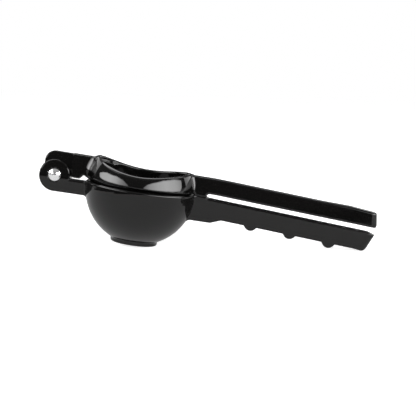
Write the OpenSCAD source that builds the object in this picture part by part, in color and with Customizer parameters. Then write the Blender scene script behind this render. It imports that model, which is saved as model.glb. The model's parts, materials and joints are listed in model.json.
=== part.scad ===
// Hinged lemon squeezer: two cast halves on one rivet.
// Millimetres, +Z up, +X along the handles. It lies closed on a table, on its foot ring and handle tip.

/* [Strainer bowl] */
// Outside radius of the bowl
bowl_r = 34.6; // [30:0.1:40]
// Thickness of the bowl's wall
bowl_wall = 2.4; // [1.8:0.1:3.2]
// Height of the rolled rim above the centre of the bowl
rim_top = 2.0; // [1.2:0.1:3]
// Radius of the flat floor inside the bowl
floor_r = 10.6; // [9:0.1:12]
// Thickness of the perforated floor
floor_t = 2.2; // [1.6:0.1:3]
// Outside radius of the foot ring
foot_r = 14.8; // [13.5:0.1:17]
// Width of the foot ring
foot_w = 2.5; // [2:0.1:3.4]
// Drop of the foot ring below the bowl
foot_h = 2.53; // [1.8:0.01:4]
// Diameter of a juice hole
hole_d = 2.8; // [1.5:0.1:3.4]
// Spacing of the rings of juice holes
hole_pitch = 4.3; // [3.9:0.1:4.6]

/* [Press dome] */
// Clearance between the dome and the inside of the bowl
dome_gap = 0.9; // [0.8:0.1:2.5]
// Height of the dome's centre above the centre of the bowl
dome_rise = 8; // [6:0.1:10]
// Thickness of the dome
dome_wall = 2.8; // [2:0.1:3.6]
// Setback of the standing wall from the outside of the bowl
wall_step = 0.2; // [0:0.1:1]
// Thickness of the standing wall at its rim
rim_wall = 2.8; // [2.2:0.1:3.6]
// Height of the wall's lower edge above the centre of the bowl
wall_base = 4.55; // [4:0.05:6]
// Lowest height of the saddle rim
saddle_z = 11.4; // [10:0.1:13]
// Radius of the saddle rim, seen from the side
saddle_r = 71.3; // [55:0.5:120]

/* [Hinge] */
// Distance from the bowl's wall to the rivet
hinge_reach = 19.7; // [17:0.1:26]
// Height of the rivet above the centre of the bowl
hinge_z = 2.0; // [0.5:0.1:3]
// Radius of the two lugs
lug_r = 9.7; // [8.5:0.1:12]
// Thickness of the tongue between the lugs
tongue_w = 5; // [4:0.1:6.5]
// Clearance on each side of the tongue
tongue_gap = 0.2; // [0.1:0.05:0.4]
// Radius of the tongue's heel
heel_r = 7.8; // [7:0.1:9.5]
// Radius of the tongue's upper corner
tongue_corner = 7; // [2:0.1:7.5]
// Clearance between the heel and the end of the fork
slot_gap = 0.8; // [0.5:0.1:2]
// Clearance between the lugs and the shoulders of the upper arm
shoulder_gap = 0.6; // [0.4:0.05:1.5]
// Diameter of the rivet's shank
rivet_d = 5; // [4:0.1:6]
// Diameter of a rivet head
head_d = 7.9; // [6.8:0.1:9]
// Height of a rivet head
head_h = 1.6; // [1:0.1:2.4]
// Radial clearance of the shank in the tongue
rivet_fit = 0.05; // [0.02:0.01:0.1]
// Radial clearance of the shank in the lugs
lug_fit = 0.02; // [0.01:0.01:0.05]

/* [Arms] */
// Width of the arms and of both handles
bar_w = 11; // [9.5:0.1:14]
// Side draft of the castings in degrees
draft = 3; // [0.5:0.1:4]
// Height of the lower arm's top above the centre of the bowl
arm_top = 0.3; // [-1:0.1:0.8]
// Height of the lower arm's underside
arm_base = -8.35; // [-10:0.05:-7]
// Height of the upper arm's top
tongue_top = 16.8; // [14.5:0.1:18]
// Height of the upper arm's underside beside the lugs
tongue_base = 2.0; // [1.6:0.1:3]
// Depth of the relief between the upper arm and the cup
relief_h = 2.7; // [1:0.1:3.5]
// Radius of the fillets between the bowl and its arm
arm_fillet = 1.8; // [1:0.1:3]
// Radius of the fillets between the press cup and its arm
neck_fillet = 3.2; // [1.5:0.1:4.5]

/* [Handles] */
// Radius of the fillets between the cups and their handles
root_fillet = 2; // [1:0.1:4.5]
// Reach of both handles beyond the bowl
handle_reach = 114.2; // [90:0.5:150]
// Radius of the handle ends in plan
end_r = 4.2; // [1.5:0.1:4.6]
// Thickness of the channelled handles' walls
channel_wall = 2.5; // [2:0.1:3.2]
// Distance from the bowl to the start of both channels
channel_start = 12.5; // [9:0.5:30]
// Clearance left between the two stops
stop_gap = 0.05; // [0.03:0.01:0.2]
// Overhang of the lower handle's tip past the upper one
tip_over = 1.1; // [0:0.1:4]

/* [Upper handle] */
// Tilt of the upper casting when it rests on its stop, in degrees
close_tilt = 0.95; // [0.5:0.05:1.5]
// Top of the upper handle at the cup
upper_top = 15.4; // [13.5:0.1:16]
// Underside of the upper handle at the cup
upper_base = 5.7; // [5:0.1:6.5]
// Fall of its top over the handle's reach
upper_fall = 4.6; // [2:0.1:6]
// Fall of its underside over the handle's reach
upper_base_fall = 4.2; // [2:0.1:5]
// Height of the swelling of its top near the tip
swell = 0.75; // [0:0.05:1.5]
// Radius of its top edges
upper_edge = 2.2; // [0.5:0.1:3]
// Rake of its end face in degrees
end_rake = 9; // [0:0.5:15]

/* [Lower handle] */
// Top of the lower handle at the cup
lower_top = 1.6; // [0.8:0.1:1.8]
// Depth of the block at the lower handle's root
root_depth = 15.5; // [13:0.1:18]
// Length of the root block from the bowl
root_l = 12.5; // [10:0.1:20]
// Depth of the lower handle after the root block
lower_depth = 11.9; // [10:0.1:13]
// Slope of the lower handle in degrees
lower_slope = 3.5; // [2:0.1:4.5]
// Drop of the nose at the tip
nose_drop = 0.6; // [0.2:0.1:2]
// Drop of the tip's upper edge
tip_drop = 0.85; // [0.1:0.05:2]
// Number of finger bumps
bumps = 3; // [0:1:4]
// Spacing of the finger bumps
bump_pitch = 24.9; // [18:0.1:30]
// Distance from the bowl to the first bump
bump_start = 36.8; // [30:0.1:50]
// Radius of a finger bump
bump_r = 4.2; // [3:0.1:5.5]
// Height of a finger bump below the handle
bump_h = 2.55; // [1:0.05:3.5]
// Further height of the last bump, nearest the tip
last_bump = 0.45; // [0:0.05:1]
// Height of the bumps' ridges on the handle's sides
bump_side = 0.3; // [0.1:0.05:0.8]
// Length of the two stops at the handles' roots
stop_l = 7.1; // [5:0.1:9]
// Height at which the two stops meet
stop_z = 3.3; // [2.6:0.1:3.8]
// Highest point of the saddle rim beside the handle
rim_peak = 16.4; // [15.8:0.1:20]

/* [Hidden] */
$fn = 40;
enamel = [0.03, 0.03, 0.03];
plating = [0.85, 0.85, 0.86];
over = 1;                                            // how far a cut runs past the metal
hinge_x = -(bowl_r + hinge_reach);                   // rivet, along the handles
tip_x = bowl_r + handle_reach;
mid_r = bowl_r - bowl_wall / 2;                      // middle of the bowl's wall
rim_z = rim_top - bowl_wall / 2;                     // centre of the rolled rim
rim_a = asin(rim_z / mid_r);                         // its angle above the horizontal
floor_top = -sqrt(pow(bowl_r - bowl_wall, 2) - floor_r * floor_r);
floor_under = floor_top - floor_t;
foot_z = -(sqrt(bowl_r * bowl_r - foot_r * foot_r) + foot_h);
foot_edge = 1;                                       // rounding of the foot's outer edge
slot_x = hinge_x + heel_r + slot_gap;                // end wall of the fork
slot_w = tongue_w + 2 * tongue_gap;
lug_low = min(hinge_z, arm_base + lug_r);            // centre of the lugs' lower round
shoulder_r = lug_r + hinge_z - lug_low + shoulder_gap;
spot_r = head_d / 2 + 0.45;                          // flat faces under the rivet heads
spot_y = bar_w / 2 - (spot_r + abs(hinge_z - arm_top)) * tan(draft);
dome_r = bowl_r - bowl_wall - dome_gap;
wall_r = bowl_r - wall_step;
cavity_r = dome_r - dome_wall;
rim_in = wall_r - rim_wall;                          // inside of the standing wall, from lip_z up
lip_z = max(dome_rise + 0.5, sqrt(max(0, rim_in * rim_in - cavity_r * cavity_r)));
lower_base = -(root_depth - lower_top);              // underside of the root block
nose_r = 3;
end_edge = 1;                                        // rounding of the upper handle's top end
// The line on which the table touches foot ring and handle tip, in the bowl's own frame
foot_c = [foot_r - foot_edge, foot_z + foot_edge];
nose_c = fillet_centre(nose_heel(), nose_low(), lower_tip(), nose_r);
lean = atan2(nose_c[1] - foot_c[1], nose_c[0] - foot_c[0])
     + asin((foot_edge - nose_r) / norm(nose_c - foot_c));
rest_z = foot_c[0] * sin(lean) - foot_c[1] * cos(lean) + foot_edge;
// Middle of the whole part's length, once it leans
far_c = fillet_centre(upper_line()[2], upper_tip(), under_tip(), end_edge);
far_x = at_lean(closed_point(far_c))[0] + end_edge;
near_x = at_lean([hinge_x, hinge_z])[0] - lug_r;
mid_x = (far_x + near_x) / 2;

// A point of the side view, turned about the rivet or leaned with the whole part
function turned(p, a) = [p[0] * cos(a) + p[1] * sin(a), -p[0] * sin(a) + p[1] * cos(a)];
function closed_point(p) = [hinge_x, hinge_z] + turned(p - [hinge_x, hinge_z], close_tilt);
function at_lean(p) = turned(p, lean);

// Height of the lower handle's top at x, and of its underside past the root block
function lower_z(x) = lower_top - (x - bowl_r) * tan(lower_slope);
function lower_tip() = [tip_x + tip_over, lower_z(tip_x + tip_over)];
function nose_low() = lower_tip() - [5.2, lower_depth + nose_drop - 5.2 * tan(lower_slope)];
function tip_edge() = let (t = lower_tip(), n = nose_low()) t + (n - t) * tip_drop / (t[1] - n[1]);
function nose_heel() = lower_tip() - [13.1, lower_depth - 13.1 * tan(lower_slope)];

// Height of the upper handle's top and underside at x, and the ends of its raked end face
function past_root(x) = max(0, x - bowl_r - root_l) / (handle_reach - root_l);
function upper_z(x) = upper_top - upper_fall * past_root(x);
function swell_at(x, share) = [x, upper_z(x) + swell * share];
function upper_line() = [[bowl_r + root_l, upper_top], swell_at(tip_x - 34, 0.35), swell_at(tip_x - 16, 1),
    upper_tip()];
function under_z(x) = upper_base - upper_base_fall * past_root(x);
function upper_tip() = [tip_x, upper_z(tip_x)];
function under_tip() = [tip_x + (upper_z(tip_x) - under_z(tip_x)) * tan(end_rake), under_z(tip_x)];

// What is left of a width at a depth, with both sides drafted
function drafted(w, depth) = w - 2 * depth * tan(draft);

// A closed outline of [x, y, corner radius] with its corners rounded
function unit(v) = v / norm(v);
function swing(a) = a > 180 ? a - 360 : a < -180 ? a + 360 : a;
function corner(a, b, c, r, n) = r <= 0 ? [b] :
    let (u = unit(a - b), v = unit(c - b), half = acos(u * v) / 2,
         o = fillet_centre(a, b, c, r),
         p = b + u * r / tan(half) - o, q = b + v * r / tan(half) - o,
         start = atan2(p[1], p[0]), turn = swing(atan2(q[1], q[0]) - start))
    [for (i = [0:n]) o + r * [cos(start + turn * i / n), sin(start + turn * i / n)]];
function fillet_centre(a, b, c, r) =
    let (u = unit(a - b), v = unit(c - b)) b + unit(u + v) * r / sin(acos(u * v) / 2);
function flat(p) = [p[0], p[1]];
function rounded(p, n = 6) = [for (i = [0:len(p) - 1])
    each corner(flat(p[(i + len(p) - 1) % len(p)]), flat(p[i]), flat(p[(i + 1) % len(p)]), p[i][2], n)];

// A side view in X and Z, given its width across the part
module side_view(w) rotate([90, 0, 0]) linear_extrude(w, center = true) children();

// A cross-section in Y and Z, drawn out along X from x0 to x1
module section_along(x0, x1) translate([x0, 0, 0]) rotate([90, 0, 90]) linear_extrude(x1 - x0) children();

// A drafted cross-section of a bar: w0 wide at z0 and w1 wide at z1, with edges rounded at z1
module bar_section(w0, z0, w1, z1, r) polygon(rounded([[-w0 / 2, z0, 0], [w0 / 2, z0, 0],
    [w1 / 2, z1, r], [-w1 / 2, z1, r]], 4));

// The rolling-ball fillets between a ball about the origin and both drafted sides of a bar, from z0 up
// to z1. The sides lie half a width w apart at height z_ref; lean_out is 1 where they face downwards
// and -1 where they face upwards, and side is 1 for the handle and -1 for the arm.
module bar_fillets(ball_r, w, z_ref, lean_out, side, r, z0, z1) {
    bite = 0.03;                                     // both faces are cut at a slight angle, not tangent
    slant = lean_out * draft;
    near = w / 2 * cos(slant) - z_ref * sin(slant) - bite;
    ball = ball_r - bite;
    out = sqrt(pow(ball + r, 2) - pow(near + r, 2));
    touch = [out, near + r] * ball / (ball + r);
    for (s = [0, 1]) mirror([0, s, 0]) intersection() {
        rotate([-90 - slant, 0, 0]) rotate_extrude() difference() {
            polygon([[out, near], [out, near - 0.5], [touch[0] - 1, near - 0.5], touch - [1, 0.3], touch]);
            translate([out, near + r]) circle(r);
        }
        translate([side > 0 ? 0 : -2 * ball_r, 0, z0]) cube([2 * ball_r, 2 * ball_r, z1 - z0]);
    }
}

// A bar's cross-section, widest at its parting line z0 and drafted both ways over a height h
module parted_section(w, z0, h) polygon([[-w / 2, z0], [-drafted(w, h) / 2, z0 + h],
    [drafted(w, h) / 2, z0 + h], [w / 2, z0], [drafted(w, h) / 2, z0 - h], [-drafted(w, h) / 2, z0 - h]]);

// A handle's plan from x0 to x1 with a rounded far end
module plan_view(x0, x1, w, r, depth) translate([0, 0, -depth]) linear_extrude(3 * depth)
    polygon(rounded([[x0, -w / 2, 0], [x1, -w / 2, r], [x1, w / 2, r], [x0, w / 2, 0]]));

// Half of a round wall's outline between two radii, closed by a rolled rim
module bowl_outline() {
    rim = mid_r * [cos(rim_a), sin(rim_a)];
    far = 2 * bowl_r;
    difference() {
        circle(bowl_r);
        circle(bowl_r - bowl_wall);
        polygon([[0, 0], far * [cos(rim_a), sin(rim_a)], [far, far], [-far, far], [-far, -far], [0, -far]]);
        translate([-over, -far]) square([foot_r - foot_w + over, far + floor_under]);
    }
    intersection() {
        circle(mid_r);
        translate([0, floor_under]) square([floor_r + over, floor_t]);
    }
    translate(rim) circle(bowl_wall / 2);
    polygon(rounded([[foot_r - foot_w, foot_z, 0.4], [foot_r, foot_z, foot_edge],
        [foot_r, foot_z + foot_h + bowl_wall / 3, 0],
        [foot_r - foot_w, foot_z + foot_h + bowl_wall / 3, 0]]));
}

// Juice holes: one in the middle and two rings about it
module juice_holes() for (ring = [0:2]) for (i = [0:max(1, 6 * ring) - 1])
    rotate(i * 60 / max(1, ring)) translate([ring * hole_pitch, 0, floor_under - over])
        cylinder(d = hole_d, h = floor_t + 2 * over, $fn = 24);

// The forked arm and its two lugs
module fork() difference() {
    union() {
        intersection() {
            union() {
                side_view(bar_w) translate([hinge_x, hinge_z]) circle(lug_r);
                side_view(bar_w) translate([hinge_x, lug_low]) circle(lug_r);
                side_view(bar_w) polygon([[hinge_x, arm_top], [-bowl_r / 2, arm_top],
                    [-bowl_r / 2, arm_base], [hinge_x, max(arm_base, lug_low - lug_r) + 0.01]]);
            }
            section_along(hinge_x - lug_r - over, 0) parted_section(bar_w, arm_top, 2 * lug_r);
        }
    }
    for (s = [0, 1]) mirror([0, s, 0]) translate([hinge_x, spot_y + over, hinge_z])
        rotate([90, 0, 0]) translate([0, 0, -2 * over]) cylinder(r = spot_r, h = 3 * over);
    translate([hinge_x - lug_r - over, -slot_w / 2, hinge_z - 2 * lug_r])
        cube([slot_x - hinge_x + lug_r + over, slot_w, 4 * lug_r]);
    translate([hinge_x, -slot_w / 2, arm_top]) cube([shoulder_r + over, slot_w, 2 * lug_r]);
    side_view(bar_w + 2 * over) translate([hinge_x, hinge_z]) circle(rivet_d / 2 + lug_fit);
}

// Side view of the lower handle: root block, step, long grip and turned-down nose
module lower_outline() {
    step = root_l + 5.5;
    polygon(rounded([[bowl_r / 2, lower_base, 0], [bowl_r + root_l - 1, lower_base, 2.5],
        [bowl_r + step, lower_z(bowl_r + step) - lower_depth, 2.5],
        [each nose_heel(), 4], [each nose_low(), nose_r], [each tip_edge(), 0.8],
        [tip_x + tip_over - 5, lower_z(tip_x + tip_over - 5), 4], [bowl_r / 2, lower_z(bowl_r / 2), 0]]));
}

module lower_handle() {
    deep = root_depth + 6;
    difference() {
        intersection() {
            side_view(bar_w + over) lower_outline();
            lower_tilt() section_along(-bowl_r, handle_reach + tip_over + over)
                bar_section(drafted(bar_w, -over), over, drafted(bar_w, deep), -deep, 0);
            plan_view(bowl_r / 2, lower_tip()[0], bar_w, end_r, root_depth * 2);
        }
        lower_channel();
    }
}

// The lower handle's own line, from its top at the bowl
module lower_tilt() translate([bowl_r, 0, lower_top]) rotate([0, lower_slope, 0]) children();

// The open channel in its upper side
module lower_channel() {
    x0 = bowl_r + channel_start;
    x1 = lower_tip()[0] - channel_wall - 1;
    x2 = nose_low()[0] - channel_wall;
    depth = lower_depth - channel_wall;
    w = bar_w - 2 * channel_wall;
    intersection() {
        side_view(bar_w) polygon(rounded([[x0, lower_z(x0) + over, 0], [x0 + 2, lower_z(x0) - depth, 2],
            [x2, lower_z(x2) - depth, 3], [x1, lower_z(x1) + over, 0]]));
        lower_tilt() section_along(0, handle_reach)
            bar_section(drafted(w, -over), over, drafted(w, depth), -depth, 1);
    }
}

// One finger bump: a round rib under the handle that fades out as it runs up both of its sides
module finger_bump(x, h) {
    low = lower_z(x) - lower_depth - h;
    high = lower_z(x) - channel_wall;
    deep = lower_depth + h + over;
    w = drafted(bar_w, deep) + 2 * bump_side;
    difference() {
        intersection() {
            side_view(bar_w + over) polygon(rounded([[x - bump_r, low, bump_r - 0.1],
                [x + bump_r, low, bump_r - 0.1], [x + bump_r, high, 2.5], [x - bump_r, high, 2.5]]));
            lower_tilt() section_along(x - bowl_r - 2 * bump_r, x - bowl_r + 2 * bump_r)
                bar_section(drafted(bar_w, channel_wall), -channel_wall, w, -deep, 1);
        }
        lower_channel();
    }
}

// A stop at a handle's root, full width: the upper one comes to rest on the lower one
module stop_block(x0, z0, z1, r0, r1) side_view(bar_w - 0.4) polygon(rounded([[x0, z0, 0],
    [wall_r + stop_l, z0, r0], [wall_r + stop_l, z1, r1], [x0, z1, 0]]));

// The upper casting's own frame, turned down about the rivet until it rests on the pad
module closed_tilt() translate([hinge_x, 0, hinge_z]) rotate([0, close_tilt, 0])
    translate([-hinge_x, 0, -hinge_z]) children();

// The lower casting
module strainer_cup() color(enamel) place() {
    difference() {
        rotate_extrude() bowl_outline();
        juice_holes();
    }
    difference() {
        union() {
            fork();
            bar_fillets(bowl_r, bar_w, arm_top, 1, -1, arm_fillet, arm_base, arm_top);
            lower_handle();
            bar_fillets(bowl_r, bar_w, lower_top, 1, 1, root_fillet, lower_base, lower_z(bowl_r) - 0.15);
            for (i = [0:1:bumps - 1]) finger_bump(bowl_r + bump_start + i * bump_pitch,
                bump_h + (i == bumps - 1 ? last_bump : 0));
            closed_tilt() stop_block(bowl_r / 2, -over, stop_z - stop_gap, 0, 0.6);
        }
        sphere(mid_r);
    }
}

// Half of the press dome's and the standing wall's outline, before the saddle is cut
module press_outline() difference() {
    union() {
        intersection() {
            circle(wall_r);
            translate([0, wall_base]) square([wall_r, wall_r / 2]);
        }
        intersection() {
            translate([0, dome_rise]) circle(dome_r);
            translate([0, -bowl_r]) square([dome_r, bowl_r + dome_rise]);
        }
    }
    intersection() {
        translate([0, dome_rise]) circle(cavity_r);
        translate([-over, -bowl_r]) square([dome_r, bowl_r + dome_rise]);
    }
    intersection() {
        circle(rim_in);
        translate([-over, dome_rise]) square([cavity_r + over, rim_in]);
    }
}

// The middle of the metal of the dome and of the standing wall, where arm and handle end
module press_core() {
    translate([0, 0, dome_rise]) sphere(dome_r - dome_wall / 2);
    intersection() {
        sphere(wall_r - rim_wall / 2);
        translate([-wall_r, -wall_r, lip_z - over]) cube(2 * wall_r);
    }
}

// The side of the saddle that is cut away, and the cut that keeps its rim low beside the handle
module saddle() side_view(3 * wall_r) translate([0, saddle_z + saddle_r]) circle(saddle_r, $fn = 120);
module rim_cut() translate([bowl_r / 2, -wall_r, rim_peak]) cube([wall_r, 2 * wall_r, wall_r]);

// The tongue's cross-section: even between the lugs, drafted above the rivet
module tongue_section() {
    w = tongue_w / 2;
    top = drafted(tongue_w, tongue_top - hinge_z) / 2;
    polygon([[-w, hinge_z - 2 * heel_r], [w, hinge_z - 2 * heel_r], [w, hinge_z], [top, tongue_top],
        [-top, tongue_top], [-w, hinge_z]]);
}

// The arm beside the press cup, its shoulders round the lugs, and the tongue between them
module upper_arm() difference() {
    union() {
        intersection() {
            side_view(bar_w) polygon(rounded([[hinge_x + lug_r - 0.1, tongue_top, 0],
                [-bowl_r / 2, tongue_top, 0], [-bowl_r / 2, tongue_base, 0], [-dome_r, tongue_base, 0],
                [-bowl_r - 1.9, tongue_base + relief_h, 0.8], [-bowl_r - 3.9, tongue_base, 0.8],
                [hinge_x + lug_r - 0.1, tongue_base, 0]]));
            section_along(hinge_x, 0) bar_section(bar_w, 0, drafted(bar_w, tongue_top), tongue_top, 0.4);
        }
        intersection() {
            side_view(tongue_w) {
                polygon(rounded([[hinge_x - heel_r, hinge_z, 0], [hinge_x, hinge_z, 0],
                    [hinge_x, tongue_base, 0], [hinge_x + shoulder_r + over, tongue_base, 0],
                    [hinge_x + shoulder_r + over, tongue_top, 0],
                    [hinge_x - heel_r, tongue_top, tongue_corner]]));
                translate([hinge_x, hinge_z]) circle(heel_r);
            }
            section_along(hinge_x - heel_r - over, 0) tongue_section();
        }
    }
    for (s = [-1, 1]) translate([0, s * (tongue_w / 2 + bar_w), 0])
        side_view(2 * bar_w) translate([hinge_x, hinge_z]) circle(shoulder_r);
    side_view(bar_w) translate([hinge_x, hinge_z]) circle(rivet_d / 2 + rivet_fit);
}

// The handle of the press cup
module upper_handle() difference() {
    root = bowl_r + root_l;
    line = upper_line();
    intersection() {
        side_view(bar_w) polygon(rounded([[bowl_r / 2, upper_base, 0], [root, upper_base, 0],
            [each under_tip(), 1.8], [each upper_tip(), end_edge], [each line[2], 18], [each line[1], 30],
            [root, upper_top, 0], [bowl_r / 2, upper_top, 0]]));
        union() {
            upper_run([0, upper_top], line[0]);
            for (i = [0:2]) upper_run(line[i], line[i + 1]);
        }
        plan_view(bowl_r / 2, max(upper_tip()[0], under_tip()[0]), bar_w, end_r, root_depth * 2);
    }
    upper_channel();
}

// One straight run of the upper handle from a to b of its top line, with rounded top edges
module upper_run(a, b) {
    deep = upper_top - upper_base + over;
    translate([a[0], 0, a[1]]) rotate([0, atan2(a[1] - b[1], b[0] - a[0]), 0])
        section_along(-over, norm(b - a) + (b == upper_tip() ? 2 * over : 0.3))
        bar_section(bar_w, -deep, drafted(bar_w, deep), 0, upper_edge);
}

// The channel that opens under the upper handle
module upper_channel() {
    x0 = bowl_r + channel_start;
    x1 = tip_x - 1.6 * channel_wall;
    w = bar_w - 2 * channel_wall;
    intersection() {
        side_view(bar_w) polygon(rounded([[x0, under_z(x0) - over, 0], [x0 + 2, upper_z(x0) - channel_wall, 2],
            [x1 - 2, upper_z(x1) - channel_wall, 2], [x1, under_z(x1) - over, 0]]));
        section_along(0, tip_x) bar_section(w, 0, drafted(w, upper_top), upper_top, 0);
    }
}

// The upper casting
module press_cup() color(enamel) place() closed_tilt() {
    difference() {
        rotate_extrude() press_outline();
        saddle();
        rim_cut();
    }
    difference() {
        union() {
            upper_arm();
            bar_fillets(wall_r, bar_w, 0, -1, -1, neck_fillet, tongue_base + relief_h, tongue_top - 0.4);
            upper_handle();
            stop_block(wall_r - 0.5, stop_z, upper_base + over, 0.8, 0);
            bar_fillets(wall_r, bar_w, upper_base - over, -1, 1, root_fillet, upper_base, upper_top - 0.8);
        }
        press_core();
    }
}

// The rivet: a shank and a domed head on each side
module hinge_rivet() color(plating) place() translate([hinge_x, 0, hinge_z]) rotate([90, 0, 0]) {
    cylinder(d = rivet_d, h = 2 * spot_y + 0.2, center = true);
    for (s = [0, 180]) rotate([s, 0, 0]) translate([0, 0, spot_y]) domed_head();
}

module domed_head() {
    ball = (head_d * head_d / 4 + head_h * head_h) / (2 * head_h);
    rotate_extrude() intersection() {
        translate([0, head_h - ball]) circle(ball);
        square([head_d, head_h]);
    }
}

// Sets a piece down as it lies on the table, with the part's middle over the origin
module place() translate([-mid_x, 0, rest_z]) rotate([0, lean, 0]) children();

strainer_cup();
press_cup();
hinge_rivet();
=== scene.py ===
# %% [markdown]
# # A hinged lemon squeezer in gloss black enamel
# The imported model comes first, because it is the fixed frame: its bodies, its joint and its lean are
# read from it, and everything made below is set around it. It is loaded before any other line can
# touch the scene.

# %% Load the imported model
import json
import math

import bmesh
import bpy
import numpy as np
from mathutils import Matrix, Vector


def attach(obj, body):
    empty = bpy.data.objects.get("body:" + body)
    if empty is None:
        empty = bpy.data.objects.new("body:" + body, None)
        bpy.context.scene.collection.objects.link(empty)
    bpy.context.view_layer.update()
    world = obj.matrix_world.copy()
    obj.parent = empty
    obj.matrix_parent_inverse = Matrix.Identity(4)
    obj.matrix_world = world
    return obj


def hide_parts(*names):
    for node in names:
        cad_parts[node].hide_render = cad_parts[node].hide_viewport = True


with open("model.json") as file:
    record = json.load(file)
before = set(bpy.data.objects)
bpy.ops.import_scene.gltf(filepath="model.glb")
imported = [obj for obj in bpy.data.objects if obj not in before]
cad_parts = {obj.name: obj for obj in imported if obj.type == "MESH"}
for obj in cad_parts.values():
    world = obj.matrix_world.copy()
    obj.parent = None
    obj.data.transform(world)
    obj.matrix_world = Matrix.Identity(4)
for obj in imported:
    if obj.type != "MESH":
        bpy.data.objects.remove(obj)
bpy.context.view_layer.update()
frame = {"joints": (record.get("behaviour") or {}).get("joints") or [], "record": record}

# %% [markdown]
# ## One frame for the castings
# The squeezer lies on its foot ring and on the tip of its lower handle, so everything leans a few
# degrees. Drawing the castings in their own upright frame, with the centre of the bowl at zero and in
# millimetres, keeps the numbers plain. The lean and the rivet's place are read from the model's own
# record, so the finished meshes land exactly where the model has them.

# %% Read the lean and the rivet's place
MM = 0.001
rest = next(m for m in frame["record"]["mounts"] if m["name"] == "foot_face")
lean = math.asin(-rest["axis"][0])
rivet_place = np.array(frame["joints"][0]["pos_m"]) / MM
bowl_r = 34.6
hinge_x, hinge_z = -bowl_r - 19.7, 2.0
close_tilt = math.radians(0.95)


def turned(x, z, angle):
    """A point of the side view turned about zero, clockwise for a positive angle."""
    return x * math.cos(angle) + z * math.sin(angle), z * math.cos(angle) - x * math.sin(angle)


def about_rivet(x, z, angle):
    """The same turn, about the rivet."""
    u, v = turned(x - hinge_x, z - hinge_z, angle)
    return u + hinge_x, v + hinge_z


hinge_leaned = turned(hinge_x, hinge_z, lean)
bowl_place = rivet_place - np.array([hinge_leaned[0], 0.0, hinge_leaned[1]])
print(f"lean {math.degrees(lean):.2f} degrees, centre of the bowl at {np.round(bowl_place, 2)} mm")

# %% [markdown]
# ## Solids as distances
# A die-cast squeezer has no sharp edge anywhere: every wall runs into the next one on a fillet, and
# the enamel rounds what is left. Gloss black shows each flaw in such a blend. Subdivision modelling
# could make it, but a fillet that is a true arc is hard to hold there, and a voxel remesh of plain
# solids leaves ripples. Here each casting is a function that gives the distance to its surface,
# negative inside the metal. Two distances are joined or cut with an exact round between them, and
# the mesh is laid on the surface afterwards.

# %% Joining and cutting with a round
def join(a, b, r):
    """Both solids, with a fillet of radius r between them."""
    return np.maximum(r, np.minimum(a, b)) - np.hypot(np.maximum(r - a, 0), np.maximum(r - b, 0))


def both(a, b, r):
    """Only what lies in both solids, with the edge between them rounded to radius r."""
    return np.minimum(-r, np.maximum(a, b)) + np.hypot(np.maximum(r + a, 0), np.maximum(r + b, 0))


def without(a, b, r):
    """Solid a with b cut out of it, and the edge of the cut rounded to radius r."""
    return both(a, -b, r)


print(f"in a square corner a 2 mm fillet adds {-float(join(0.0, 0.0, 2.0)):.2f} mm of metal")

# %% [markdown]
# ## Side views
# Handles and arms are drawn in side view, as a pattern maker would draw them: a closed outline with
# a radius at each corner. The distance to an outline is the distance to its nearest edge, and a point
# is inside when a line from it to one side crosses the outline an odd number of times.

# %% Outlines with rounded corners
ARC_STEPS = 14


def rounded(corners):
    """The outline through (x, z, radius) corners, each with its own arc."""
    points = []
    spots = [np.array(c[:2], float) for c in corners]
    for i, (spot, (_, _, r)) in enumerate(zip(spots, corners)):
        before, after = spots[i - 1], spots[(i + 1) % len(spots)]
        u = (before - spot) / np.linalg.norm(before - spot)
        v = (after - spot) / np.linalg.norm(after - spot)
        half = math.acos(float(u @ v)) / 2
        if r <= 0:
            points.append(spot)
            continue
        centre = spot + (u + v) / np.linalg.norm(u + v) * r / math.sin(half)
        start, end = spot + u * r / math.tan(half) - centre, spot + v * r / math.tan(half) - centre
        first = math.atan2(start[1], start[0])
        turn = (math.atan2(end[1], end[0]) - first + math.pi) % (2 * math.pi) - math.pi
        for k in range(ARC_STEPS + 1):
            a = first + turn * k / ARC_STEPS
            points.append(centre + r * np.array([math.cos(a), math.sin(a)]))
    return np.array(points)


def to_outline(points, x, z):
    """Distance to a closed outline, negative inside."""
    nearest = np.full(np.broadcast(x, z).shape, np.inf)
    inside = np.zeros(nearest.shape, bool)
    for (ax, az), (bx, bz) in zip(points, np.roll(points, -1, axis=0)):
        ex, ez = bx - ax, bz - az
        if ex * ex + ez * ez < 1e-12:
            continue
        t = np.clip(((x - ax) * ex + (z - az) * ez) / (ex * ex + ez * ez), 0, 1)
        nearest = np.minimum(nearest, (x - ax - ex * t) ** 2 + (z - az - ez * t) ** 2)
        if ez:
            inside ^= ((az > z) != (bz > z)) & (x < ax + ex * (z - az) / ez)
    return np.where(inside, -1.0, 1.0) * np.sqrt(nearest)


square = rounded([(0, 0, 1), (4, 0, 1), (4, 4, 1), (0, 4, 1)])
corner_gap = to_outline(square, np.array([0.0]), np.array([0.0]))[0]
print(f"a square with 1 mm corners: {len(square)} points, and {corner_gap:.3f} mm cut off each corner")

# %% [markdown]
# ## Pulling points onto a surface
# A distance function also tells which way the surface lies: the direction in which the distance grows
# fastest is the slope, and a step against it lands on the surface. This is Newton's method, and one
# step is nearly enough, because the functions above are true distances almost everywhere.

# %% Slope and pull
CELL = 0.5
STEP = 0.02
LEAST_SLOPE = 0.5


def slope(solid, p, step, base=None):
    """The direction in which the distance grows fastest."""
    g = np.empty_like(p)
    for axis in range(3):
        d = np.zeros(3)
        d[axis] = step
        behind = solid(*(p - d).T) if base is None else base
        g[:, axis] = (solid(*(p + d).T) - behind) / (2 * step if base is None else step)
    return g


def pull(solid, p):
    """Moves points onto the surface along its slope."""
    far = solid(*p.T)
    g = slope(solid, p, STEP, far)
    far = far / np.maximum((g * g).sum(1), LEAST_SLOPE ** 2)
    return p - g * np.clip(far, -CELL, CELL)[:, None]


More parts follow.
